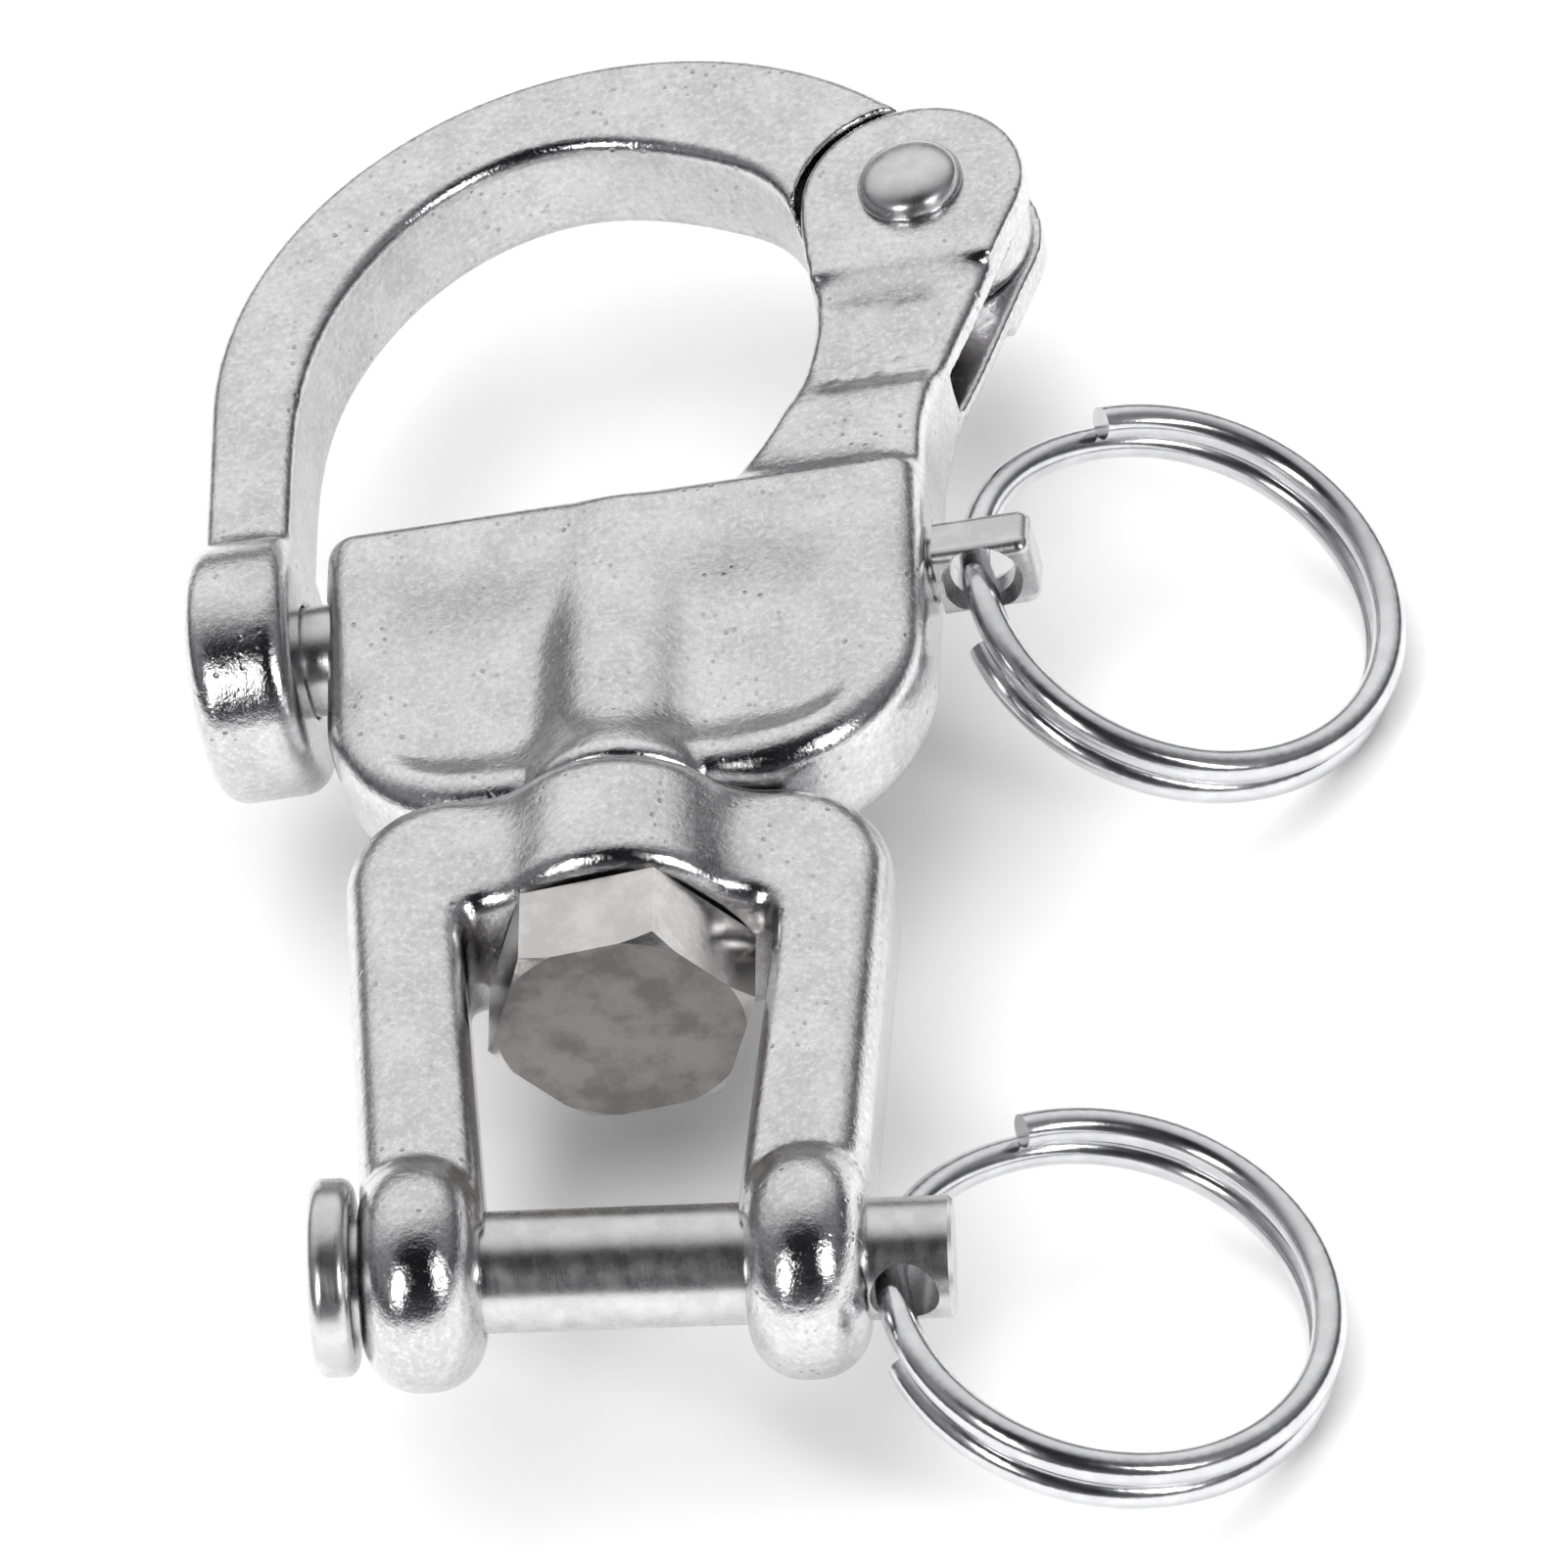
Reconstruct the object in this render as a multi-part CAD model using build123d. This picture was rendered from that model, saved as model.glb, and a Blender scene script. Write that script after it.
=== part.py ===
from build123d import *
import os
from math import cos, pi, radians, sin, sqrt, tan

# Snap shackle with a swivelling clevis jaw, cast and polished stainless steel, 87 mm long over all.
#
# Frame: the origin is the middle of the clevis pin, on the axis of the swivel.
#   +Y runs along the shackle towards the bail, +X across it towards the plunger's eye,
#   +Z out of the front face. The shackle lies on its back. All lengths are in millimetres.

# ---- clearances -------------------------------------------------------------------------------
RUN_FIT = 0.05        # radial, turning or sliding in a bore
SIDE_GAP = 0.10       # each side of the bail's lug between the cheeks
FACE_GAP = 0.25       # between faces that turn past each other
SWEEP_GAP = 0.35      # between curved faces that sweep past each other

# ---- clevis pin and its split ring ---------------------------------------------------------------
PIN_D = 6.0
PIN_HEAD_D = PIN_D + 3.8
PIN_HEAD_T = 2.1
PIN_TAIL = 4.1            # past the outer face of the ear
PIN_HOLE_FROM_EAR = 1.7
PIN_HOLE_TILT = 8.0       # the tail's cross hole leans this much out of the jaw's plane, degrees

# ---- fork ----------------------------------------------------------------------------------------
EAR_R = 5.8
EAR_W = 6.05
EAR_X = 9.45              # middle of an ear from the swivel axis
EAR_ROUND = 2.75
LEG_W = 6.2
LEG_FOOT_X = 9.2          # middle of a leg at the pin
LEG_TOP_X = 10.95         # and at the crown
LEG_HALF_T = 4.3
LEG_EDGE_OUT = 2.2
LEG_EDGE_IN = 1.3
SHOULDER_R = 5.6
CROTCH_R = 1.0
HUB_R = 7.2
HUB_BOTTOM_Y = 20.8
HUB_LENGTH = 8.2
HUB_TOP_Y = HUB_BOTTOM_Y + HUB_LENGTH
HUB_BLEND = 4.0
FORK_TURN = 8.95          # the fork is turned this far about the swivel at rest, degrees

# ---- swivel bolt -----------------------------------------------------------------------------------
BOLT_D = 7.0              # shank in the hub
BOLT_THREAD_D = BOLT_D - 1.0
BOLT_HEAD_AF = 12.0
BOLT_HEAD_T = 4.7
BOLT_END_D = 12.5         # flat end of the chamfered head
BOLT_LENGTH = 18.0
BOLT_HEAD_TURN = 4.3      # one corner of the hexagon from +X, degrees

# ---- body casting --------------------------------------------------------------------------------
BODY_LEFT_X = -15.25
BODY_RIGHT_X = 15.75
BODY_HEIGHT = 20.0
BODY_BOTTOM_Y = HUB_TOP_Y + FACE_GAP
BODY_TOP_Y = BODY_BOTTOM_Y + BODY_HEIGHT
BODY_CORNER_R = 9.0
NOSE_D = 5.6              # the plunger's nose sets the band's thickness
BAND_WALL = 1.3
BODY_RIM_HALF_T = 3.6     # at the lower rim,
BODY_DISH_HALF_T = 3.1    # in the dish of each web,
BODY_BAND_HALF_T = NOSE_D / 2 + BAND_WALL    # and over the plunger
PLUNGER_Y = BODY_TOP_Y - 4.9
BODY_BAND_Y = PLUNGER_Y + 2.2
BODY_DISH_Y = PLUNGER_Y - 5.9
BODY_EDGE = 1.8
BODY_TOP_EDGE = 0.6
RIB_R = 4.75              # housing of the swivel bolt, at its foot
RIB_TOP_R = 4.0
COLLAR_R = 6.0            # foot of the rib, over the hub
COLLAR_H = 4.2

# ---- arm and hinge cheeks --------------------------------------------------------------------------
HINGE_INSET = 0.65        # from the body's right face
HINGE_X = BODY_RIGHT_X - HINGE_INSET
HINGE_RISE = 19.6         # from the top of the body
HINGE_Y = BODY_TOP_Y + HINGE_RISE
CHEEK_R = 5.9
CHEEK_HALF_T = 3.3
CHEEK_FOOT_Y = HINGE_Y - 5.65  # where the cheeks step down to the neck
NECK_HALF_T = 2.75
ARM_HALF_T = 3.3          # at the foot of the arm
ARM_FOOT_Y = BODY_TOP_Y + 4.75
ARM_FOOT_W = 13.6
ARM_EDGE = 0.9
CHEEK_EDGE = 0.5
SLOT_HALF_W = 1.35
SLOT_FLOOR_Y = HINGE_Y - 12.45

# ---- hinge rivet -------------------------------------------------------------------------------------
RIVET_D = 4.0
RIVET_HEAD_R = 2.75
RIVET_RIM = 0.45
RIVET_DOME = 1.05

# ---- plunger, spring and eye ---------------------------------------------------------------------------
BOSS_GAP = 1.25           # between the body and the bail's boss
NOSE_REACH = 2.9          # of the nose into the boss
NOSE_TIP_X = BODY_LEFT_X - BOSS_GAP - NOSE_REACH
NOSE_END_X = BODY_LEFT_X + 4.25
NOSE_ROUND = 0.6
STEM_D = NOSE_D - 2.4
SPRING_SEAT_X = BODY_RIGHT_X - 5.25
SPRING_WIRE = 0.6
SPRING_COIL_D = (NOSE_D + STEM_D) / 2
SPRING_TURNS = 13
EYE_LENGTH = 5.0
EYE_X0 = BODY_RIGHT_X + FACE_GAP
EYE_X1 = EYE_X0 + EYE_LENGTH
EYE_W = 4.1
EYE_T = 3.1
EYE_EDGE = 0.7
EYE_ROLL = 8.0            # the eye's hole leans this much out of the shackle's plane, degrees
EYE_HOLE_X = EYE_X0 + 2.25
EYE_SINK = 0.9            # depth of the countersink on each side

# ---- bail ------------------------------------------------------------------------------------------------
BAIL_HALF_T = 3.15
BOSS_LENGTH = 5.45
BOSS_X1 = BODY_LEFT_X - BOSS_GAP
BOSS_X0 = BOSS_X1 - BOSS_LENGTH
BOSS_R = 6.65
BOSS_EDGE = 1.3
BAIL_LEFT_X = BOSS_X0 + 0.15
BAIL_PAST_HINGE = 5.1     # the outer arc would end this far past the hinge
BAIL_OUT_R = (HINGE_X + BAIL_PAST_HINGE - BAIL_LEFT_X) / 2
BAIL_OUT_CX = BAIL_LEFT_X + BAIL_OUT_R
BAIL_OUT_CY = HINGE_Y - 8.25
BAIL_LEG_T = 4.6          # thickness in the shackle's plane, at the leg
BAIL_CROWN_T = 5.9        # and at the top
BAIL_IN_X = BAIL_LEFT_X + BAIL_LEG_T
BAIL_IN_TOP_X = BAIL_OUT_CX - 2.2    # highest point of the inner outline
BAIL_IN_TOP_Y = BAIL_OUT_CY + BAIL_OUT_R - BAIL_CROWN_T
BAIL_LEG_Y = BODY_TOP_Y + 6.2    # where the straight leg starts to bend
BAIL_EDGE = 0.8
LUG_R = CHEEK_R - 0.4

# ---- split rings -----------------------------------------------------------------------------------------
RING_WIRE = 1.7
RING_COIL_GAP = 0.06
RING_TURNS = 1.75
RING_R = 10.85            # centre line of the wire
EYE_HOLE_D = RING_WIRE + 1.6
PIN_HOLE_D = RING_WIRE + 1.7
RELEASE_RING_DROP = 28.0  # how each ring lies at rest, degrees: its fall to the right,
RELEASE_RING_PITCH = 6.0  # its lean along the shackle,
RELEASE_RING_SWING = 2.5  # and its turn in its own plane
RELEASE_RING_SLACK = 0.35  # the wire rests this far off the middle of its hole
RELEASE_RING_END = -67.0  # front free end, from the hole
CLEVIS_RING_DROP = 21.6
CLEVIS_RING_PITCH = 2.0
CLEVIS_RING_SWING = -7.5
CLEVIS_RING_SLACK = 0.64
CLEVIS_RING_END = -58.0

PIN_HOLE_X = EAR_X + EAR_W / 2 + PIN_HOLE_FROM_EAR


def x_bar(radius, x0, x1, y=0.0, z=0.0):
    """Cylinder along X from x0 to x1."""
    return Pos((x0 + x1) / 2, y, z) * Rot(0, 90, 0) * Cylinder(radius, x1 - x0)


def y_bar(radius, y0, y1, x=0.0, z=0.0):
    """Cylinder along Y from y0 to y1."""
    return Pos(x, (y0 + y1) / 2, z) * Rot(90, 0, 0) * Cylinder(radius, y1 - y0)


def z_bar(radius, z0, z1, x=0.0, y=0.0):
    """Cylinder along Z from z0 to z1."""
    return Pos(x, y, (z0 + z1) / 2) * Cylinder(radius, z1 - z0)


def span(x0, x1, y0, y1, z0, z1):
    """Box between two corners."""
    return Pos((x0 + x1) / 2, (y0 + y1) / 2, (z0 + z1) / 2) * Box(x1 - x0, y1 - y0, z1 - z0)


def edges_near(shape, test):
    """Edges of a shape whose middle point passes the test."""
    return [edge for edge in shape.edges() if test(edge @ 0.5)]


# ---- body ------------------------------------------------------------------------------------------------
def body_section():
    """Half section of the two webs and the band over the plunger, in the YZ plane."""
    front = Spline(
        (BODY_BOTTOM_Y, BODY_RIM_HALF_T), (BODY_BOTTOM_Y + 2.5, BODY_RIM_HALF_T - 0.05),
        (BODY_DISH_Y, BODY_DISH_HALF_T), (PLUNGER_Y, BODY_BAND_HALF_T - 0.2),
        (BODY_BAND_Y, BODY_BAND_HALF_T), (BODY_TOP_Y, BODY_BAND_HALF_T - 0.1))
    return Plane.YZ * make_face(Wire([
        Line((BODY_BOTTOM_Y, 0), (BODY_BOTTOM_Y, BODY_RIM_HALF_T)), front,
        Line((BODY_TOP_Y, BODY_BAND_HALF_T - 0.1), (BODY_TOP_Y, 0)),
        Line((BODY_TOP_Y, 0), (BODY_BOTTOM_Y, 0))]))


def body_lobes():
    """Dished plate cut to the rounded outline."""
    width = BODY_RIGHT_X - BODY_LEFT_X
    half = Pos(BODY_LEFT_X, 0, 0) * extrude(body_section(), amount=width, dir=(1, 0, 0))
    middle = Pos((BODY_LEFT_X + BODY_RIGHT_X) / 2, (BODY_BOTTOM_Y + BODY_TOP_Y) / 2)
    outline = middle * Rectangle(width, BODY_TOP_Y - BODY_BOTTOM_Y)
    outline = fillet(outline.vertices().sort_by(Axis.Y)[:2], BODY_CORNER_R)
    block = (half + mirror(half, Plane.XY)) & extrude(outline, amount=10, both=True)

    def on_rim(p):
        return abs(p.Z) > BODY_DISH_HALF_T - 0.05 and p.Y < BODY_TOP_Y - 0.1

    block = fillet(edges_near(block, on_rim), BODY_EDGE)
    return fillet(edges_near(block, lambda p: p.Y > BODY_TOP_Y - 0.01), BODY_TOP_EDGE)


def housing():
    """Upright housing of the swivel bolt with its flared foot."""
    height = BODY_BAND_Y - BODY_BOTTOM_Y
    rib = Pos(0, BODY_BOTTOM_Y + height / 2, 0) * Rot(-90, 0, 0) * Cone(RIB_R, RIB_TOP_R, height)
    foot = Pos(0, BODY_BOTTOM_Y + COLLAR_H / 2, 0) * Rot(-90, 0, 0) * Cone(
        COLLAR_R, RIB_R - 0.3, COLLAR_H)
    return rib + fillet(foot.edges().sort_by(Axis.Y)[0], 0.8)


def arm_outline():
    """Outline of the arm, from the band to round the hinge."""
    away = radians(-22)
    left = (HINGE_X - CHEEK_R, HINGE_Y)
    right = (HINGE_X + CHEEK_R * cos(away), HINGE_Y + CHEEK_R * sin(away))
    waist = (HINGE_X - CHEEK_R + 0.7, HINGE_Y - 7.65)
    foot = (waist[0] - 1.6, HINGE_Y - 14.65)
    start = (HINGE_X - ARM_FOOT_W, PLUNGER_Y)
    inner = Spline(start, foot, waist, left, tangents=[(0.75, 1), (0, 1)])
    rise_y = BODY_TOP_Y + 1.7
    flare = ((BODY_RIGHT_X + right[0]) / 2 - 0.4, (rise_y + right[1]) / 2)
    outer = Spline(right, flare, (BODY_RIGHT_X, rise_y), tangents=[(sin(away), -cos(away)), (0, -1)])
    return make_face(Wire([
        inner,
        ThreePointArc(left, (HINGE_X, HINGE_Y + CHEEK_R), right),
        outer,
        Line((BODY_RIGHT_X, rise_y), (BODY_RIGHT_X, PLUNGER_Y)),
        Line((BODY_RIGHT_X, PLUNGER_Y), start),
    ]))


def arm():
    """Arm with the raised hinge cheeks, before the slot is cut."""
    outline = arm_outline()
    end_y = HINGE_Y + 10
    profile = FilletPolyline(
        (PLUNGER_Y, 0), (PLUNGER_Y, ARM_HALF_T), (ARM_FOOT_Y, ARM_HALF_T), (ARM_FOOT_Y + 3, NECK_HALF_T),
        (end_y, NECK_HALF_T), (end_y, 0), radius=(0, 3, 3, 0))
    half = extrude(Plane.YZ * make_face(profile + Line((end_y, 0), (PLUNGER_Y, 0))), amount=40, dir=(1, 0, 0))
    neck = extrude(outline, amount=ARM_HALF_T, both=True) & (half + mirror(half, Plane.XY))
    long_edges = edges_near(neck, lambda p: abs(p.Z) > NECK_HALF_T - 0.05 and not 10.2 < p.X < 15.5)
    neck = fillet(long_edges, ARM_EDGE)
    pad = extrude(outline, amount=CHEEK_HALF_T, both=True) & span(0, 40, CHEEK_FOOT_Y, end_y, -9, 9)
    pad = fillet(edges_near(pad, lambda p: abs(p.Z) > CHEEK_HALF_T - 0.01), CHEEK_EDGE)
    return neck + pad


def make_body():
    """The casting with its bores, slot and rivet holes."""
    solid = body_lobes() + housing() + arm()
    solid -= span(HINGE_X - 20, HINGE_X + 20, SLOT_FLOOR_Y, HINGE_Y + 20, -SLOT_HALF_W, SLOT_HALF_W)
    solid -= z_bar(RIVET_D / 2, -10, 10, HINGE_X, HINGE_Y)
    solid -= x_bar(NOSE_D / 2 + RUN_FIT, -20, SPRING_SEAT_X, PLUNGER_Y)
    solid -= x_bar(STEM_D / 2 + RUN_FIT, 0, 30, PLUNGER_Y)
    solid -= y_bar(BOLT_THREAD_D / 2, 0, HUB_BOTTOM_Y - FACE_GAP + BOLT_LENGTH + 0.5)
    return solid


# ---- hinge rivet -----------------------------------------------------------------------------------------
def make_hinge_rivet():
    """Shank with a rimmed dome on each end."""
    rivet = z_bar(RIVET_D / 2, -CHEEK_HALF_T, CHEEK_HALF_T, HINGE_X, HINGE_Y)
    sphere_r = (RIVET_HEAD_R ** 2 + RIVET_DOME ** 2) / (2 * RIVET_DOME)
    head = Cylinder(RIVET_HEAD_R, 2 * (RIVET_RIM + RIVET_DOME))
    head &= Pos(0, 0, RIVET_RIM + RIVET_DOME - sphere_r) * Sphere(sphere_r)
    head &= Pos(0, 0, 5) * Box(10, 10, 10)
    top = Pos(HINGE_X, HINGE_Y, CHEEK_HALF_T) * head
    return rivet + top + mirror(top, Plane.XY)


# ---- bail ------------------------------------------------------------------------------------------------
def bail_outline(half_t):
    """Curved bar from the boss to the hinge."""
    out_x = BAIL_OUT_CX - BAIL_OUT_R
    start_y = PLUNGER_Y + 1.0
    top = (BAIL_OUT_CX, BAIL_OUT_CY + BAIL_OUT_R)
    end_x = HINGE_X + 2.4
    end = (end_x, BAIL_OUT_CY + sqrt(BAIL_OUT_R ** 2 - (end_x - BAIL_OUT_CX) ** 2))
    turn = 0.75 * pi
    middle = (BAIL_OUT_CX + BAIL_OUT_R * cos(turn), BAIL_OUT_CY + BAIL_OUT_R * sin(turn))
    inner_end = (HINGE_X - CHEEK_R - 0.15, HINGE_Y - 1.0)
    inner = Spline(
        (BAIL_IN_X, BAIL_LEG_Y), (BAIL_IN_X + 1.9, BAIL_IN_TOP_Y - 9.1), (BAIL_IN_X + 6.8, BAIL_IN_TOP_Y - 2.7),
        (BAIL_IN_TOP_X, BAIL_IN_TOP_Y), (BAIL_IN_TOP_X + 7.8, BAIL_IN_TOP_Y - 2.5), inner_end,
        tangents=[(0, 1), (0.35, -1)])
    edges = [
        Line((out_x, start_y), (out_x, BAIL_OUT_CY)),
        ThreePointArc((out_x, BAIL_OUT_CY), middle, top),
        ThreePointArc(top, (BAIL_OUT_CX + BAIL_OUT_R * 0.5, BAIL_OUT_CY + BAIL_OUT_R * sqrt(0.75)), end),
        Line(end, (HINGE_X, HINGE_Y)),
        Line((HINGE_X, HINGE_Y), inner_end),
        inner,
        Line((BAIL_IN_X, BAIL_LEG_Y), (BAIL_IN_X, start_y)),
        Line((BAIL_IN_X, start_y), (out_x, start_y)),
    ]
    return extrude(make_face(Wire(edges)), amount=half_t, both=True)


def make_bail():
    """Bar with rounded edges, locking boss at the free end and hinge lug at the other."""
    shoulder_r = CHEEK_R + SWEEP_GAP
    bar = bail_outline(BAIL_HALF_T)

    def long_edge(p):
        past_leg = p.Y > PLUNGER_Y + 2 and abs(p.Z) > BAIL_HALF_T - 0.01
        return past_leg and abs(p - Vector(HINGE_X, HINGE_Y, p.Z)) > shoulder_r

    bar = fillet(edges_near(bar, long_edge), BAIL_EDGE)
    bar -= z_bar(shoulder_r, -10, 10, HINGE_X, HINGE_Y)
    boss = x_bar(BOSS_R, BOSS_X0, BOSS_X1, PLUNGER_Y)
    boss = fillet(boss.edges().filter_by(GeomType.CIRCLE), BOSS_EDGE)
    lug_half_t = SLOT_HALF_W - SIDE_GAP
    lug = bail_outline(lug_half_t) & z_bar(shoulder_r + 1.5, -10, 10, HINGE_X, HINGE_Y)
    lug += z_bar(LUG_R, -lug_half_t, lug_half_t, HINGE_X, HINGE_Y)
    bail = bar + boss + lug
    bail -= x_bar(NOSE_D / 2 + 0.12, NOSE_TIP_X - 0.4, 0, PLUNGER_Y)
    return bail - z_bar(RIVET_D / 2 + RUN_FIT, -10, 10, HINGE_X, HINGE_Y)


# ---- plunger and spring ------------------------------------------------------------------------------------
def make_plunger():
    """Nose, stem and the flattened eye that takes the release ring."""
    nose = x_bar(NOSE_D / 2, NOSE_TIP_X, NOSE_END_X, PLUNGER_Y)
    nose = fillet(nose.edges().filter_by(GeomType.CIRCLE).sort_by(Axis.X)[0], NOSE_ROUND)
    stem = x_bar(STEM_D / 2, NOSE_END_X, EYE_X0 + 0.3, PLUNGER_Y)
    eye = Box(EYE_X1 - EYE_X0, EYE_W, EYE_T)
    eye = fillet(eye.edges().filter_by(Axis.X) + eye.faces().sort_by(Axis.X)[-1].edges(), EYE_EDGE)
    hole_x = EYE_HOLE_X - (EYE_X0 + EYE_X1) / 2
    eye -= Pos(hole_x, 0, 0) * Cylinder(EYE_HOLE_D / 2, 2 * EYE_T)
    sink = Pos(hole_x, 0, EYE_T / 2 - EYE_SINK / 2) * Cone(EYE_HOLE_D / 2, EYE_HOLE_D / 2 + EYE_SINK * 0.45, EYE_SINK)
    eye -= sink + mirror(sink, Plane.XY)
    eye = Pos((EYE_X0 + EYE_X1) / 2, PLUNGER_Y, 0) * Rot(90 - EYE_ROLL, 0, 0) * eye
    return nose + stem + eye


def make_spring():
    """Compression spring round the stem, between the nose and the end of the bore."""
    x0 = NOSE_END_X + SPRING_WIRE / 2 + 0.02
    x1 = SPRING_SEAT_X - SPRING_WIRE / 2 - 0.02
    path = Helix(pitch=(x1 - x0) / SPRING_TURNS, height=x1 - x0, radius=SPRING_COIL_D / 2)
    section = Plane(origin=path @ 0, z_dir=path % 0) * Circle(SPRING_WIRE / 2)
    coil = sweep(section, path=path, is_frenet=True)
    return Pos(x0, PLUNGER_Y, 0) * Rot(0, 90, 0) * coil


# ---- split rings -----------------------------------------------------------------------------------------
def split_ring(hole, drop, pitch, swing, slack, first_end):
    """Split ring of one and three quarter turns threaded through a hole.

    The wire has one coil through the hole and two, one on the other, over the rest. first_end is
    the angle of the front coil's free end from the hole, seen from the front."""
    rise = (RING_WIRE + RING_COIL_GAP) / 2
    single = 360 * (2 - RING_TURNS)

    def level(turned):
        climb = min(max((turned - (360 - single)) / single, 0), 1)
        return rise * cos(pi * climb)

    steps = 42
    points = []
    for step in range(steps + 1):
        turned = 360 * RING_TURNS * step / steps
        angle = radians(first_end - turned)
        points.append((RING_R * cos(angle), RING_R * sin(angle), level(turned) - level(360 + first_end)))
    path = Spline(*points)
    section = Plane(origin=path @ 0, z_dir=path % 0) * Circle(RING_WIRE / 2)
    wire = sweep(section, path=path, is_frenet=True)
    fall, lean = radians(drop), radians(pitch)
    flat = Plane(
        origin=hole, x_dir=(-cos(fall), 0, sin(fall)),
        z_dir=(sin(fall) * cos(lean), -sin(lean), cos(fall) * cos(lean)))
    return flat * Rot(0, 0, swing) * Pos(slack - RING_R, 0, 0) * wire


def make_release_ring():
    """Ring in the plunger's eye."""
    hole = (EYE_HOLE_X, PLUNGER_Y, 0)
    return split_ring(
        hole, RELEASE_RING_DROP, RELEASE_RING_PITCH, RELEASE_RING_SWING, RELEASE_RING_SLACK, RELEASE_RING_END)


def make_clevis_ring():
    """Ring in the tail of the clevis pin, placed where the turned fork carries the hole."""
    hole = (Rot(0, FORK_TURN, 0) * Pos(PIN_HOLE_X, 0, 0)).position
    return split_ring(
        hole, CLEVIS_RING_DROP, CLEVIS_RING_PITCH, CLEVIS_RING_SWING, CLEVIS_RING_SLACK, CLEVIS_RING_END)


# ---- swivel bolt -----------------------------------------------------------------------------------------
def make_swivel_bolt():
    """Hexagon head in the jaw, shank through the hub into the body."""
    head_y = HUB_BOTTOM_Y - FACE_GAP
    hexagon = RegularPolygon(BOLT_HEAD_AF / 2, 6, major_radius=False, rotation=BOLT_HEAD_TURN)
    head = extrude(Plane.XZ.offset(-head_y) * hexagon, amount=BOLT_HEAD_T)
    cone = Cone(BOLT_END_D / 2, BOLT_END_D / 2 + BOLT_HEAD_T / tan(radians(30)), BOLT_HEAD_T)
    head &= Pos(0, head_y - BOLT_HEAD_T / 2, 0) * Rot(-90, 0, 0) * cone
    shank = y_bar(BOLT_D / 2, head_y, BODY_BOTTOM_Y)
    thread = y_bar(BOLT_THREAD_D / 2, head_y, head_y + BOLT_LENGTH)
    thread = chamfer(thread.edges().filter_by(GeomType.CIRCLE).sort_by(Axis.Y)[-1], 0.8)
    return head + shank + thread


# ---- clevis pin ------------------------------------------------------------------------------------------
def make_clevis_pin():
    """Headed pin with a cross hole in its tail."""
    ear_out = EAR_X + EAR_W / 2
    head = x_bar(PIN_HEAD_D / 2, -ear_out - FACE_GAP - PIN_HEAD_T, -ear_out - FACE_GAP)
    head = fillet(head.edges().filter_by(GeomType.CIRCLE), 0.7)
    shank = x_bar(PIN_D / 2, -ear_out - FACE_GAP - PIN_HEAD_T / 2, ear_out + PIN_TAIL)
    shank = chamfer(shank.edges().filter_by(GeomType.CIRCLE).sort_by(Axis.X)[-1], 0.2)
    hole = Pos(PIN_HOLE_X, 0, 0) * Rot(90 - PIN_HOLE_TILT, 0, 0) * Cylinder(PIN_HOLE_D / 2, 2 * PIN_D)
    return Rot(0, FORK_TURN, 0) * (head + shank - hole)


# ---- fork ------------------------------------------------------------------------------------------------
def yoke_outline():
    """Outline of the jaw in its own XY plane: crown, shoulders and the two leaning legs."""
    half_w = LEG_W / 2
    outer = FilletPolyline(
        (-LEG_FOOT_X - half_w, 0), (-LEG_TOP_X - half_w, HUB_TOP_Y), (LEG_TOP_X + half_w, HUB_TOP_Y),
        (LEG_FOOT_X + half_w, 0), radius=SHOULDER_R)
    inner = FilletPolyline(
        (-LEG_FOOT_X + half_w, 0), (-LEG_TOP_X + half_w, HUB_BOTTOM_Y), (LEG_TOP_X - half_w, HUB_BOTTOM_Y),
        (LEG_FOOT_X - half_w, 0), radius=CROTCH_R)
    left = Line((-LEG_FOOT_X - half_w, 0), (-LEG_FOOT_X + half_w, 0))
    right = Line((LEG_FOOT_X + half_w, 0), (LEG_FOOT_X - half_w, 0))
    return make_face(outer + left + inner + right)


def make_fork():
    """Hub, crown, legs and ears."""
    section = Circle(HUB_R) + Rectangle(40, 2 * LEG_HALF_T)
    corners = [v for v in section.vertices() if abs(v.X) < HUB_R]
    section = fillet(corners, HUB_BLEND)
    column = extrude(Plane.XZ.offset(5) * section, amount=-(HUB_TOP_Y + 5))
    solid = column & extrude(yoke_outline(), amount=20, both=True)

    def is_edge(p):
        return abs(p.Z) > LEG_HALF_T - 0.05 and p.Y > 0.5

    def outer_edge(p):
        return is_edge(p) and (p.Y > HUB_TOP_Y - 0.05 or abs(p.X) > LEG_FOOT_X)

    def inner_edge(p):
        return is_edge(p) and p.Y < HUB_TOP_Y - 1 and abs(p.X) < LEG_FOOT_X

    solid = fillet(edges_near(solid, outer_edge), LEG_EDGE_OUT)
    solid = fillet(edges_near(solid, inner_edge), LEG_EDGE_IN)
    ear = x_bar(EAR_R, EAR_X - EAR_W / 2, EAR_X + EAR_W / 2)
    ear = fillet(ear.edges().filter_by(GeomType.CIRCLE), EAR_ROUND)
    solid += ear
    solid += mirror(ear, Plane.YZ)
    solid -= x_bar(PIN_D / 2 + RUN_FIT, -30, 30)
    solid -= y_bar(BOLT_D / 2 + RUN_FIT, 10, 40)
    return Rot(0, FORK_TURN, 0) * solid


MAKERS = {
    "body": make_body,
    "hinge_rivet": make_hinge_rivet,
    "bail": make_bail,
    "plunger": make_plunger,
    "plunger_spring": make_spring,
    "release_ring": make_release_ring,
    "fork": make_fork,
    "swivel_bolt": make_swivel_bolt,
    "clevis_pin": make_clevis_pin,
    "clevis_ring": make_clevis_ring,
}

if __name__ == "__main__":
    os.makedirs("parts", exist_ok=True)
    for name, make in MAKERS.items():
        export_step(make(), f"parts/{name}.step")
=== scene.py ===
from math import cos, pi, sin

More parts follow.
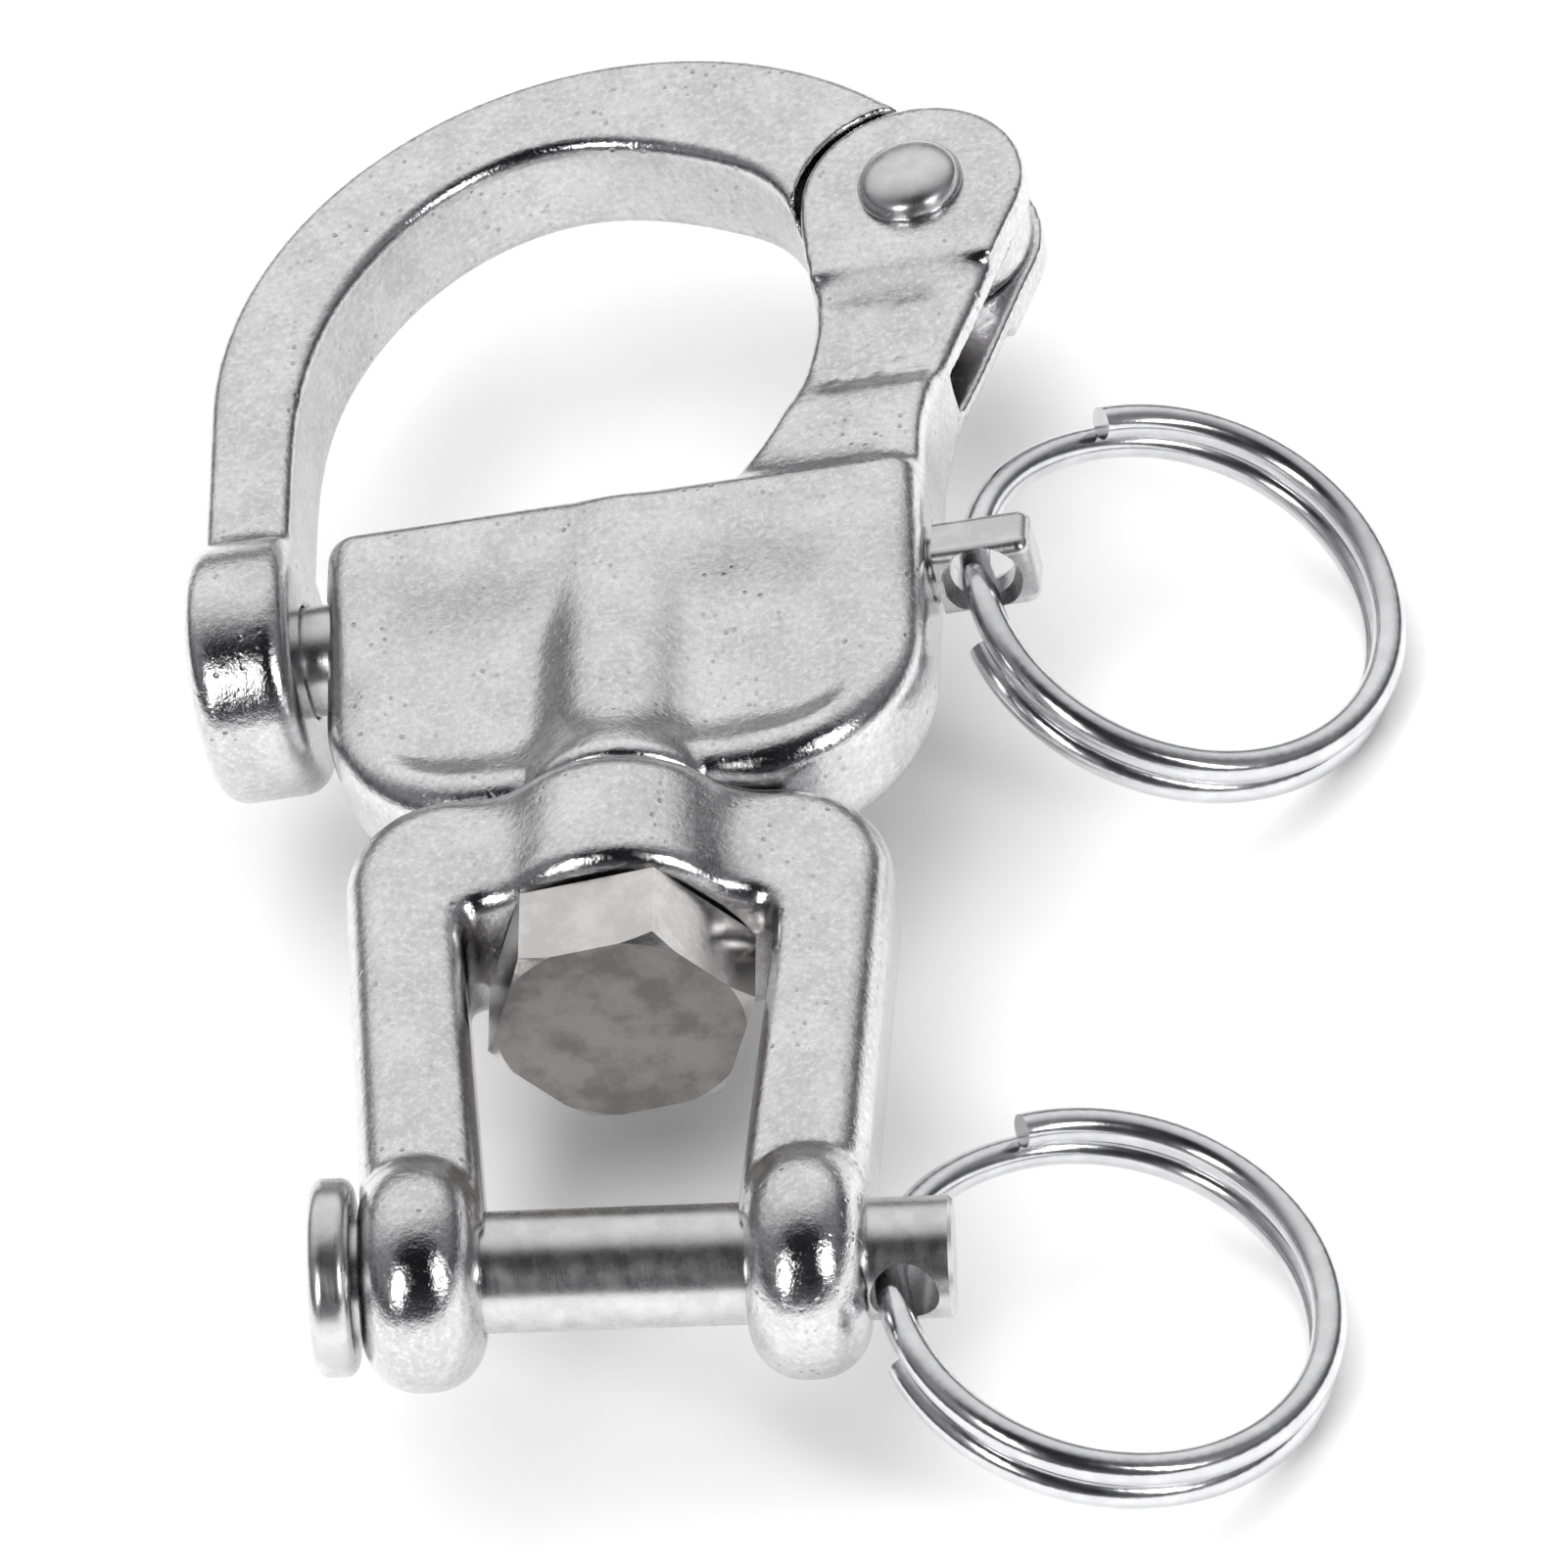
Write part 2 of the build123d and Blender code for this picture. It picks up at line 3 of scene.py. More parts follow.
import bmesh
import bpy
import numpy as np
from bpy.props import FloatProperty, FloatVectorProperty, IntProperty, PointerProperty
from mathutils import Matrix, Vector, noise


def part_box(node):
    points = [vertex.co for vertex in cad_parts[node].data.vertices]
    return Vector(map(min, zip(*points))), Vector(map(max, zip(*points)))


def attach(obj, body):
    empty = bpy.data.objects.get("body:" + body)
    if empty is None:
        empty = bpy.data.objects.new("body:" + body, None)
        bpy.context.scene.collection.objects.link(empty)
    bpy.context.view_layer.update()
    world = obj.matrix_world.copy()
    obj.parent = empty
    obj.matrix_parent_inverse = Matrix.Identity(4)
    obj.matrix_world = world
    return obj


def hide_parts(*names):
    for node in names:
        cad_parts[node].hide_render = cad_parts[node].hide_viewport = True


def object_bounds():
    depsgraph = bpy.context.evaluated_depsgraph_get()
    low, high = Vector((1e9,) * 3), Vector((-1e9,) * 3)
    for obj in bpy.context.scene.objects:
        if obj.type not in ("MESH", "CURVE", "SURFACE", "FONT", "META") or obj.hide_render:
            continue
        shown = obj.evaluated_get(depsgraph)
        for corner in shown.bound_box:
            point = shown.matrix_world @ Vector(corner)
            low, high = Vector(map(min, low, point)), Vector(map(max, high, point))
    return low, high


bl_info = {
    "name": "Snap Shackle",
    "version": (1, 0, 0),
    "blender": (4, 5, 0),
    "location": "View3D > Sidebar > Shackle",
    "description": "Builds the visual model of a swivelling snap shackle round its CAD frame",
    "category": "Add Mesh",
}

# The object's frame, in metres: the clevis pin's middle is the origin, +Y runs along the shackle to
# the bail, +X across it to the plunger's eye and +Z out of its front face.
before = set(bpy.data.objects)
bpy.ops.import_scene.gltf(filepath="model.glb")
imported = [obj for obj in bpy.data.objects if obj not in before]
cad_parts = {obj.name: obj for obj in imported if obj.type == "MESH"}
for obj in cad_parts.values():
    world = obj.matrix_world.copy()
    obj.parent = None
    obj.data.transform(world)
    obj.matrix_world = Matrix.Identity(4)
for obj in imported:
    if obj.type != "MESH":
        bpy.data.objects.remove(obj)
CAD_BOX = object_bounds()
MM = 0.001

# The castings' sizes below are in millimetres.
HINGE_X, HINGE_Y = 15.1, 68.85              # hinge rivet's axis
CHEEK_FACE = 3.3                            # the cheeks' outer faces, either side of the middle plane
PLUNGER_Y = 44.35
BODY_LEFT, BODY_RIGHT = -15.25, 15.75
BODY_BOTTOM = 29.25
BODY_CORNER = 9.0
BODY_MIDDLE_X = 0.25
WEB_HALF_T, DISH_DEPTH = 4.1, 1.25          # the webs' half thickness and how far each is dished
RIB_HALF_T, FOOT_HALF_W = 4.9, 4.3          # the upright rib and the flared foot over the hub
FACE_FROM = 2.4                             # the front and back start this far off the middle plane
SADDLE_FROM = 2.1
# Nothing is reshaped within these radii of the plunger's and the swivel bolt's bores in the body, and
# of the bores in the bail's boss and in the fork's hub.
BORE_CLEAR, SHANK_CLEAR = 3.05, 3.2
BOSS_CLEAR, HUB_CLEAR = 3.4, 4.2
SADDLE_DEPTH, SADDLE_BUMP = 0.28, 0.085     # the rough saddle across the arm
SADDLE_GRAINS = (0.55, 0.27)                # sizes of its bumps
# Where a reshaping fades in, and where it fades out again.
TOP_FADE = (48.5, 49.0)
RIM_FADE = (1.5, 3.2)
FLANK_HALF_W, FLANK_FADE = 7.0, (30.2, 31.2)
ARM_FOOT = (47.6, 48.4), (65.5, 67.0)
CHEEK_FADE = (2.3, 2.7)
SADDLE_Y = (54.6, 56.2), (60.6, 62.2)
SADDLE_X = (9.6, 11.2), (15.6, 17.2)
BAIL_NECK = (49.0, 50.0), (55.0, 60.0)
CROWN_FADE = (19.5, 21.0)
FORK_NECK, FORK_NECK_FILL = ((3.0, 4.0), (7.0, 9.0)), 0.35

FRONT_GAP = (0.12, -0.62, 0.77)             # towards the dark gap at the front of the light tent
REAR_WALL = (-0.10, 0.80, 0.59)             # towards the tent's brightest wall
TENT_WHITE, TENT_GREY = (1.0, 1.0, 1.0), (0.24, 0.24, 0.25)
SKIRTING_GREY, GAP_BLACK = (0.06, 0.06, 0.065), (0.015, 0.015, 0.017)
CAMERA_AT = Vector((0.15602, -0.58252, 0.63090))
CAMERA_TO = Vector((0.006836, 0.036237, -0.005406))
CAMERA_UP = Vector((0.14431, 0.72194, 0.67668))
FLOOR_HALF = 3.0
# Name, place, size, watts, and whether polished metal shows it.
LAMPS = (
    ("box_left", (-0.34, -0.62, 0.50), (0.16, 0.36), 1.9, True),
    ("box_right", (0.60, -0.50, 0.44), (0.16, 0.36), 1.9, True),
    ("ceiling", (0.0, 0.1, 1.6), (2.4, 2.4), 36.0, False),
)


# ---- sizes and colours a user would change -------------------------------------------------------
class ShackleSettings(bpy.types.PropertyGroup):
    """Finish of the metal and the stage."""
    cast_color: FloatVectorProperty(
        name="Cast Steel", description="Colour of the polished castings", subtype="COLOR",
        size=3, min=0.0, max=1.0, default=(0.69, 0.685, 0.69))
    wire_color: FloatVectorProperty(
        name="Wire Steel", description="Colour of the drawn ring wire", subtype="COLOR",
        size=3, min=0.0, max=1.0, default=(0.74, 0.74, 0.75))
    bolt_color: FloatVectorProperty(
        name="Bolt Steel", description="Colour of the forged bolt head", subtype="COLOR",
        size=3, min=0.0, max=1.0, default=(0.60, 0.59, 0.58))
    polish: FloatProperty(
        name="Polish", description="Roughness of the polished castings", subtype="FACTOR",
        min=0.05, max=0.6, default=0.13)
    grain: FloatProperty(
        name="Grain", description="Size of the fine tumbling grain", subtype="DISTANCE",
        unit="LENGTH", min=0.00005, max=0.002, default=0.00036)
    floor_color: FloatVectorProperty(
        name="Floor", description="Colour of the plain floor", subtype="COLOR",
        size=3, min=0.0, max=1.0, default=(0.95, 0.95, 0.95))
    light: FloatProperty(
        name="Light", description="Strength of the studio lights", min=0.0, max=10.0, default=1.0)
    lens: FloatProperty(
        name="Lens", description="Focal length of the camera in millimetres", min=20.0, max=1000.0,
        default=409.8)


class MeshSettings(bpy.types.PropertyGroup):
    """How finely the castings are meshed and how far their hollow corners are filled."""
    cell: FloatProperty(
        name="Cell", description="Size of the mesh cells on the castings", subtype="DISTANCE",
        unit="LENGTH", min=0.0001, max=0.002, default=0.00024)
    soften: IntProperty(
        name="Soften", description="Passes that soften every edge of a casting", min=0, max=60,
        default=5)
    fill: IntProperty(
        name="Fill", description="Passes that fill the hollow corners of a casting", min=0, max=400,
        default=140)


# ---- shader building -----------------------------------------------------------------------------
class Socket:
    """An output socket that takes part in sums, so that shader maths reads as an expression."""

    def __init__(self, shader, out):
        self.shader = shader
        self.out = out

    def maths(self, operation, *values):
        values = dict(enumerate((self, *values)))
        return self.shader.node("ShaderNodeMath", {"operation": operation}, values)

    def __add__(self, other):
        return self.maths("ADD", other)

    def __mul__(self, other):
        return self.maths("MULTIPLY", other)

    def __rsub__(self, other):
        return self.shader.node("ShaderNodeMath", {"operation": "SUBTRACT"}, {0: other, 1: self})

    __radd__ = __add__

    def ramp(self, low, high):
        """0 below low, 1 above high and smooth between."""
        return self.shader.node(
            "ShaderNodeMapRange", {"interpolation_type": "SMOOTHSTEP", "clamp": True},
            {0: self, 1: low, 2: high, 3: 0.0, 4: 1.0})


class Shader:
    """Adds nodes to one node tree."""

    def __init__(self, tree):
        self.tree = tree
        tree.nodes.clear()

    def node(self, kind, settings=None, values=None, output=0):
        """A node with its settings and its sockets' values or links, as one of its outputs."""
        new = self.tree.nodes.new(kind)
        for key, value in (settings or {}).items():
            setattr(new, key, value)
        for key, value in (values or {}).items():
            if isinstance(value, Socket):
                self.tree.links.new(value.out, new.inputs[key])
            else:
                new.inputs[key].default_value = value
        return Socket(self, new.outputs[output])

    def place(self, scale):
        """Object coordinates, with scale cells to the metre along each axis."""
        coords = self.node("ShaderNodeTexCoord", output="Object")
        return self.node("ShaderNodeVectorMath", {"operation": "MULTIPLY"}, {0: coords, 1: scale})

    def noise(self, scale, detail=3.0, rough=0.55):
        """Noise from 0 to 1 with features of about 1 / scale metres."""
        scale = scale if isinstance(scale, tuple) else (scale, scale, scale)
        return self.node("ShaderNodeTexNoise", {}, {
            "Vector": self.place(scale), "Scale": 1.0, "Detail": detail, "Roughness": rough})

    def pits(self, scale, low, high):
        """1 in scattered small pits and 0 between them."""
        far = self.node("ShaderNodeTexVoronoi", {"feature": "F1"}, {
            "Vector": self.place((scale, scale, scale)), "Scale": 1.0, "Randomness": 1.0}, "Distance")
        return 1 - far.ramp(low, high)

    def blend(self, mask, first, second):
        """First colour where mask is 0 and second where it is 1."""
        first, second = ((*c, 1.0) if isinstance(c, tuple) else c for c in (first, second))
        return self.node("ShaderNodeMix", {"data_type": "RGBA"}, {0: mask, 6: first, 7: second}, 2)

    def bump(self, height, strength, depth, normal=None):
        """Normal of a surface raised by height."""
        values = {"Height": height, "Strength": strength, "Distance": depth}
        if normal is not None:
            values["Normal"] = normal
        return self.node("ShaderNodeBump", {}, values)


def steel(name, build):
    """A metal material: build(shader) returns (colour, roughness, normal)."""
    material = bpy.data.materials.new(name)
    material.use_nodes = True
    shader = Shader(material.node_tree)
    color, rough, normal = build(shader)
    values = {"Base Color": color, "Metallic": 1.0, "Roughness": rough, "Normal": normal}
    surface = shader.node("ShaderNodeBsdfPrincipled", {}, values)
    link_surface(shader, surface)
    return material


def link_surface(shader, surface):
    """Puts the surface on a material output."""
    out = shader.tree.nodes.new("ShaderNodeOutputMaterial")
    shader.tree.links.new(surface.out, out.inputs["Surface"])


def shade(color, factor):
    """The colour made lighter or darker by a factor."""
    return tuple(factor * c for c in color)


def cast_steel():
    """Tumbled and polished casting: grey mottling, a fine grain with painted glints on its high
    points and painted shade in its low points, and scattered pits darkened with painted shade.
    """
    settings = bpy.context.scene.shackle
    color, grain = tuple(settings.cast_color), 1 / settings.grain

    def build(s):
        mottle = s.noise(300.0, detail=4.0)
        fine = s.noise(grain, detail=4.0, rough=0.75)
        coarse = s.noise(1100.0, rough=0.6)
        pit = s.pits(1400.0, 0.10, 0.26) * s.noise(260.0, detail=2.0).ramp(0.46, 0.62)
        tint = s.blend(mottle.ramp(0.3, 0.7), shade(color, 0.82), color)
        # Lighter speckles on the grain's high points are painted glints; darker speckles in its low
        # points are painted shade.
        tint = s.blend(fine.ramp(0.48, 0.66) * 0.6, tint, shade(color, 1.22))
        tint = s.blend((1 - fine.ramp(0.32, 0.47)) * 0.5, tint, shade(color, 0.6))
        # Painted shade darkens the pits.
        tint = s.blend(pit * 0.6, tint, shade(color, 0.5))
        rough = settings.polish - 0.04 + mottle.ramp(0.35, 0.65) * 0.06 + pit * 0.15
        normal = s.bump(fine, strength=0.6, depth=0.05 * MM)
        normal = s.bump(1 - pit, strength=0.8, depth=0.03 * MM, normal=normal)
        normal = s.bump(coarse, strength=0.22, depth=0.08 * MM, normal=normal)
        return tint, rough, normal

    return steel("cast_finish", build)


def wire_steel():
    """Bright drawn wire, faintly mottled."""
    color = tuple(bpy.context.scene.shackle.wire_color)

    def build(s):
        worn = s.noise(700.0)
        tint = s.blend(worn.ramp(0.4, 0.7), shade(color, 0.88), color)
        rough = 0.13 + worn * 0.12
        grit = s.noise(2500.0, detail=2.0)
        return tint, rough, s.bump(grit, strength=0.15, depth=0.01 * MM)

    return steel("wire_finish", build)


def pin_steel():
    """Turned steel: fine tool marks across X and worn patches."""
    color = tuple(bpy.context.scene.shackle.cast_color)

    def build(s):
        turned = s.noise((5200.0, 420.0, 420.0))
        worn = s.noise(900.0, detail=4.0)
        tint = s.blend(worn.ramp(0.35, 0.7), shade(color, 0.84), color)
        rough = 0.16 + worn * 0.16 + turned * 0.08
        normal = s.bump(turned, strength=0.25, depth=0.02 * MM)
        return tint, rough, s.bump(worn, strength=0.2, depth=0.05 * MM, normal=normal)

    return steel("pin_finish", build)


def bolt_steel():
    """Forged bolt head: bright sides and chamfer, a dull stained end."""
    color = tuple(bpy.context.scene.shackle.bolt_color)

    def build(s):
        normal = s.node("ShaderNodeNewGeometry", output="Normal")
        down = s.node("ShaderNodeSeparateXYZ", {}, {0: normal}, "Y")
        end = (down * -1.0).ramp(0.93, 0.985)
        stain = s.noise(420.0, detail=5.0, rough=0.6)
        grit = s.noise(3000.0)
        dull = s.blend(stain.ramp(0.35, 0.62), (0.22, 0.21, 0.20), (0.34, 0.325, 0.31))
        bright = s.blend(stain.ramp(0.4, 0.7), shade(color, 0.9), shade(color, 1.1))
        tint = s.blend(end, bright, dull)
        rough = 0.17 + grit * 0.12 + end * 0.27
        gritty = s.bump(grit, strength=0.3, depth=0.03 * MM)
        return tint, rough, s.bump(stain, strength=0.3, depth=0.12 * MM, normal=gritty)

    return steel("bolt_finish", build)


def spring_steel():
    """Plain spring wire."""

    def build(s):
        dirt = s.noise(900.0)
        tint = s.blend(dirt, (0.36, 0.36, 0.37), (0.5, 0.5, 0.5))
        return tint, 0.25 + dirt * 0.2, s.bump(dirt, strength=0.2, depth=0.02 * MM)

    return steel("spring_finish", build)


def material(name):
    """A finish by name, made once."""
    makers = {"cast_finish": cast_steel, "wire_finish": wire_steel, "pin_finish": pin_steel,
              "bolt_finish": bolt_steel, "spring_finish": spring_steel}
    return bpy.data.materials.get(name) or makers[name]()


# ---- mesh building -------------------------------------------------------------------------------
def add_object(name, mesh, finish, body):
    """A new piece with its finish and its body."""
    piece = bpy.data.objects.new(name, mesh)
    bpy.context.scene.collection.objects.link(piece)
    mesh.materials.clear()
    mesh.materials.append(material(finish))
    mesh.shade_smooth()
    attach(piece, body)
    return piece


def finish_node(node, finish):
    """Gives a CAD node a finish."""
    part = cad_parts[node]
    if not part.material_slots:
        part.data.materials.append(None)
    for slot in part.material_slots:
        slot.link = "OBJECT"
        slot.material = material(finish)


def even_mesh(node, name, cell):
    """The node's solid as an even mesh of small quads."""
    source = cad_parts[node].data
    whole = bmesh.new()
    whole.from_mesh(source)
    bmesh.ops.remove_doubles(whole, verts=whole.verts, dist=1e-6)
    mesh = bpy.data.meshes.new(name)
    whole.to_mesh(mesh)
    whole.free()
    scratch = bpy.data.objects.new(name + "_scratch", mesh)
    bpy.context.scene.collection.objects.link(scratch)
    grid = scratch.modifiers.new("grid", "REMESH")
    grid.mode = "VOXEL"
    grid.voxel_size = cell
    grid.adaptivity = 0.0
    graph = bpy.context.evaluated_depsgraph_get()
    even = bpy.data.meshes.new_from_object(scratch.evaluated_get(graph))
    bpy.data.objects.remove(scratch)
    even.name = name
    return even


class Skin:
    """The points of a mesh with what smoothing needs: neighbours and normals."""

    def __init__(self, mesh):
        self.mesh = mesh
        count = len(mesh.vertices)
        self.points = np.empty(3 * count)
        mesh.vertices.foreach_get("co", self.points)
        self.points = self.points.reshape(-1, 3)
        pairs = np.empty(2 * len(mesh.edges), dtype=np.int64)
        mesh.edges.foreach_get("vertices", pairs)
        self.a, self.b = pairs.reshape(-1, 2).T
        self.valence = np.bincount(np.r_[self.a, self.b], minlength=count)[:, None]

    def normals(self):
        """The direction out of the surface at each point."""
        self.store()
        flat = np.empty(3 * len(self.points))
        self.mesh.vertex_normals.foreach_get("vector", flat)
        return flat.reshape(-1, 3)

    def pull(self):
        """From each point to the middle of its neighbours."""
        total = np.zeros_like(self.points)
        for axis in range(3):
            column = self.points[:, axis]
            total[:, axis] = (
                np.bincount(self.a, column[self.b], len(column))
                + np.bincount(self.b, column[self.a], len(column)))
        return total / self.valence - self.points

    def soften(self, passes, mask=1.0):
        """Smooths the masked points without shrinking the whole."""
        for _ in range(passes):
            self.points += 0.5 * mask * self.pull()
            self.points -= 0.52 * mask * self.pull()

    def relax(self, passes, mask=1.0):
        """Plain smoothing of the masked points."""
        for _ in range(passes):
            self.points += 0.5 * mask * self.pull()

    def fill(self, passes, mask):
        """Fills hollow corners where mask allows, and leaves raised edges as they are."""
        normals = self.normals()
        for step in range(passes):
            if step % 10 == 9:
                normals = self.normals()
            pull = self.pull()
            out = np.maximum((pull * normals).sum(axis=1, keepdims=True), 0.0)
            self.points += mask * (0.85 * out * normals)

    def store(self):
        """Writes the points back to the mesh."""
        self.mesh.vertices.foreach_set("co", self.points.ravel())
        self.mesh.update()


def smooth_step(value, low, high):
    """0 below low, 1 above high and smooth between."""
    t = np.clip((value - low) / (high - low), 0.0, 1.0)
    return t * t * (3 - 2 * t)


def between(value, rise, fall):
    """1 between the rise and the fall, 0 outside them and smooth in both."""
    return smooth_step(value, *rise) * (1 - smooth_step(value, *fall))


def bumps(points, size):
    """Smooth bumps of about one unit, with features of the given size, at each point."""
    return np.array([noise.noise(Vector(point) / size) for point in points])


def smooth_max(a, b, width):
    """The larger of two heights, rounded over width where they cross."""
    t = np.clip(0.5 + 0.5 * (a - b) / width, 0.0, 1.0)
    return b + (a - b) * t + width * t * (1 - t)


def web_height(x, y):
    """Half thickness of the body at a point of its front, in millimetres: a dish in each web, the
    plunger's band above them, the upright rib between them and the flared foot over the hub."""
    band = smooth_step(y, 40.0, 46.4)
    rim = smooth_step(np.abs(x - BODY_MIDDLE_X), 9.5, 14.5)
    foot = 1 - smooth_step(y, 30.0, 34.0)
    dish = (1 - band) * (1 - 0.75 * rim) * (1 - 0.7 * foot)
    height = WEB_HALF_T - DISH_DEPTH * dish + 0.12 * smooth_step(y, 46.0, 48.5)
    rib = RIB_HALF_T - 0.045 * (y - 30.0) - 0.13 * x * x
    height = smooth_max(height, rib, width=1.5)
    flare = FOOT_HALF_W + 1.7 * (1 - smooth_step(y, 28.8, 34.5))
    foot_height = np.sqrt(np.maximum(flare ** 2 - x * x, 0.0))
    return smooth_max(height, foot_height, width=1.1)


def inside_body(x, y):
    """How far a point is inside the body's rounded outline, in millimetres."""
    side = np.minimum(x - BODY_LEFT, BODY_RIGHT - x)
    base = y - BODY_BOTTOM
    round_part = BODY_CORNER - np.hypot(BODY_CORNER - side, BODY_CORNER - base)
    in_corner = (side < BODY_CORNER) & (base < BODY_CORNER)
    return np.where(in_corner, round_part, np.minimum(side, base))


# ---- pieces --------------------------------------------------------------------------------------
class SHACKLE_OT_body(bpy.types.Operator):
    """Body casting: two webs, the upright housing, the band and the arm with its cheeks"""
    bl_idname = "shackle.body"
    bl_label = "Body Casting"

    def execute(self, context):
        detail = context.scene.shackle_mesh
        mesh = even_mesh("body", "body_casting", detail.cell)
        skin = Skin(mesh)
        x, y, z = skin.points.T / MM
        off_bores = (np.hypot(y - PLUNGER_Y, z) > BORE_CLEAR) & (np.hypot(x, z) > SHANK_CLEAR)
        front = (np.abs(z) > FACE_FROM) & off_bores
        top = 1 - smooth_step(y, *TOP_FADE)
        shape = front * smooth_step(inside_body(x, y), *RIM_FADE) * top
        flank = front * (np.abs(x) < FLANK_HALF_W) * smooth_step(y, *FLANK_FADE) * top
        height = np.sign(z) * web_height(x, y)
        shaped = np.maximum(shape, flank)
        skin.points[:, 2] += MM * shaped * (height - z)
        arm_foot = between(y, *ARM_FOOT)
        skin.relax(12, (front * shaped)[:, None])
        skin.fill(detail.fill, (front * smooth_step(np.abs(z), *CHEEK_FADE) * arm_foot)[:, None])
        skin.soften(detail.soften)
        skin.relax(2)
        saddle = between(y, *SADDLE_Y) * (np.abs(z) > SADDLE_FROM)
        large, small = (bumps(skin.points, size * MM) for size in SADDLE_GRAINS)
        relief = SADDLE_BUMP * (large + 0.6 * small) - SADDLE_DEPTH
        sunk = saddle * between(x, *SADDLE_X) * relief
        skin.points += MM * sunk[:, None] * skin.normals()
        skin.store()
        piece = add_object("body_casting", mesh, "cast_finish", "casting")
        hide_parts("body")
        return {"FINISHED"}


class SHACKLE_OT_bail(bpy.types.Operator):
    """Bail: the curved opening jaw with its hinge lug and locking boss"""
    bl_idname = "shackle.bail"
    bl_label = "Bail"

    def execute(self, context):
        detail = context.scene.shackle_mesh
        mesh = even_mesh("bail", "bail_bar", detail.cell)
        skin = Skin(mesh)
        x, y, z = skin.points.T / MM
        off_bore = np.hypot(y - PLUNGER_Y, z) > BOSS_CLEAR
        skin.fill(detail.fill // 3, (between(y, *BAIL_NECK) * off_bore)[:, None])
        skin.soften(detail.soften)
        skin.relax(2)
        skin.store()
        piece = add_object("bail_bar", mesh, "cast_finish", "bail")
        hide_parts("bail")
        return {"FINISHED"}


class SHACKLE_OT_fork(bpy.types.Operator):
    """Fork: hub, crown, legs and rounded ears"""
    bl_idname = "shackle.fork"
    bl_label = "Fork"

    def execute(self, context):
        detail = context.scene.shackle_mesh
        mesh = even_mesh("fork", "fork_jaw", detail.cell)
        skin = Skin(mesh)
        x, y, z = skin.points.T / MM
        off_bore = np.hypot(x, z) > HUB_CLEAR
        crown = smooth_step(y, *CROWN_FADE)
        neck = FORK_NECK_FILL * between(y, *FORK_NECK)
        skin.fill(detail.fill, (np.maximum(crown, neck) * off_bore)[:, None])
        skin.soften(detail.soften)
        skin.relax(2)
        skin.store()
        piece = add_object("fork_jaw", mesh, "cast_finish", "fork")
        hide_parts("fork")
        return {"FINISHED"}


def lathe(outline, name, turns=96):
    """A solid turned about +Z from (radius, height) points, first and last on the axis."""
    solid = bmesh.new()
    rings = []
    for radius, height in outline:
        if radius == 0:
            rings.append([solid.verts.new((0, 0, height))])
            continue
        angles = (2 * pi * k / turns for k in range(turns))
        rings.append([solid.verts.new((radius * cos(a), radius * sin(a), height)) for a in angles])
    for low, high in zip(rings, rings[1:]):
        for k in range(turns):
            n = (k + 1) % turns
            corners = [low[k % len(low)], low[n % len(low)], high[n % len(high)], high[k % len(high)]]
            corners = [c for i, c in enumerate(corners) if c not in corners[:i]]
            solid.faces.new(corners)
    bmesh.ops.recalc_face_normals(solid, faces=solid.faces)
    mesh = bpy.data.meshes.new(name)
    solid.to_mesh(mesh)
    solid.free()
    return mesh


class SHACKLE_OT_rivet(bpy.types.Operator):
    """Hinge rivet: a shank with a domed, rimmed head on each end"""
    bl_idname = "shackle.rivet"
    bl_label = "Hinge Rivet"

    def execute(self, context):
        low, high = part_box("hinge_rivet")
        radius = (high[0] - low[0]) / 2
        cheek, shank, edge, rim = CHEEK_FACE * MM, 2.0 * MM, 0.1 * MM, 0.45 * MM
        dome = high[2] - cheek - rim
        head = [
            (shank, cheek - edge), (radius - edge, cheek - edge), (radius, cheek + edge),
            (radius - 0.02 * MM, cheek + 0.36 * MM)]
        steps = 14
        for k in range(1, steps + 1):
            a = pi / 2 * k / steps
            head.append(((radius - 0.14 * MM) * cos(a), cheek + rim + dome * sin(a)))
        head[-1] = (0, head[-1][1])
        outline = [(r, -h) for r, h in reversed(head)] + head
        mesh = lathe(outline, "rivet")
        mesh.transform(Matrix.Translation((HINGE_X * MM, HINGE_Y * MM, 0)))
        piece = add_object("rivet", mesh, "pin_finish", "casting")
        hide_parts("hinge_rivet")
        return {"FINISHED"}


class SHACKLE_OT_turned(bpy.types.Operator):
    """Turned and formed steel: plunger, spring, swivel bolt, clevis pin and both rings"""
    bl_idname = "shackle.turned"
    bl_label = "Pins, Bolt and Rings"

    def execute(self, context):
        finishes = {"plunger": "pin_finish", "plunger_spring": "spring_finish",
                    "swivel_bolt": "bolt_finish", "clevis_pin": "pin_finish",
                    "release_ring": "wire_finish", "clevis_ring": "wire_finish"}
        for node, finish in finishes.items():
            finish_node(node, finish)
        return {"FINISHED"}


def add_floor(settings):
    """A plain floor just under the object."""
    low, _ = CAD_BOX
    mesh = bpy.data.meshes.new("floor")
    half = FLOOR_HALF
    corners = [(-half, -half, 0), (half, -half, 0), (half, half, 0), (-half, half, 0)]
    mesh.from_pydata(corners, [], [(0, 1, 2, 3)])
    floor = bpy.data.objects.new("floor", mesh)
    floor.location.z = low[2] - 0.1 * MM
    bpy.context.scene.collection.objects.link(floor)
    paint = bpy.data.materials.new("floor_paint")
    paint.use_nodes = True
    shader = Shader(paint.node_tree)
    values = {"Base Color": (*settings.floor_color, 1.0), "Roughness": 0.9, "Specular IOR Level": 0.1}
    link_surface(shader, shader.node("ShaderNodeBsdfPrincipled", {}, values))
    mesh.materials.append(paint)


